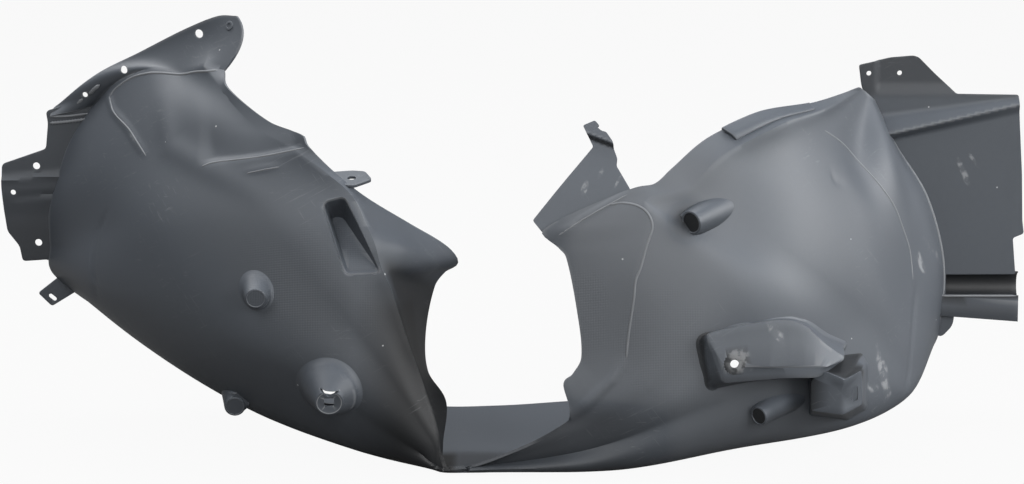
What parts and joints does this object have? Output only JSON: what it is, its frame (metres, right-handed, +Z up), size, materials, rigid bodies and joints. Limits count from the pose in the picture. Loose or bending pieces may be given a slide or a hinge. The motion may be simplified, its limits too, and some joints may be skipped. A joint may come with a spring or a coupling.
{
  "type": "wheel arch liner",
  "caption": "Curved moulded liner for a front wheel arch: a thin wall round the wheel with a wide gap for the strut, fixing flanges, hollow bosses, a pocket and a bracket.",
  "frame": {"origin": "on the ground plane under the middle of the part's length and depth, with the part lying on its crown", "axes": "+X along the arch to the end with the large panel, +Y from the side wall with the strut gap to the fender side, +Z up, from the crown to the open side"},
  "size_m": [1.129, 0.3386, 0.4567],
  "materials": {
    "liner": "satin black moulded plastic with a fine grain, faint scuffs and dust"
  },
  "bodies": {
    "root": {"wheel_arch_liner": "liner"}
  },
  "joints": []
}
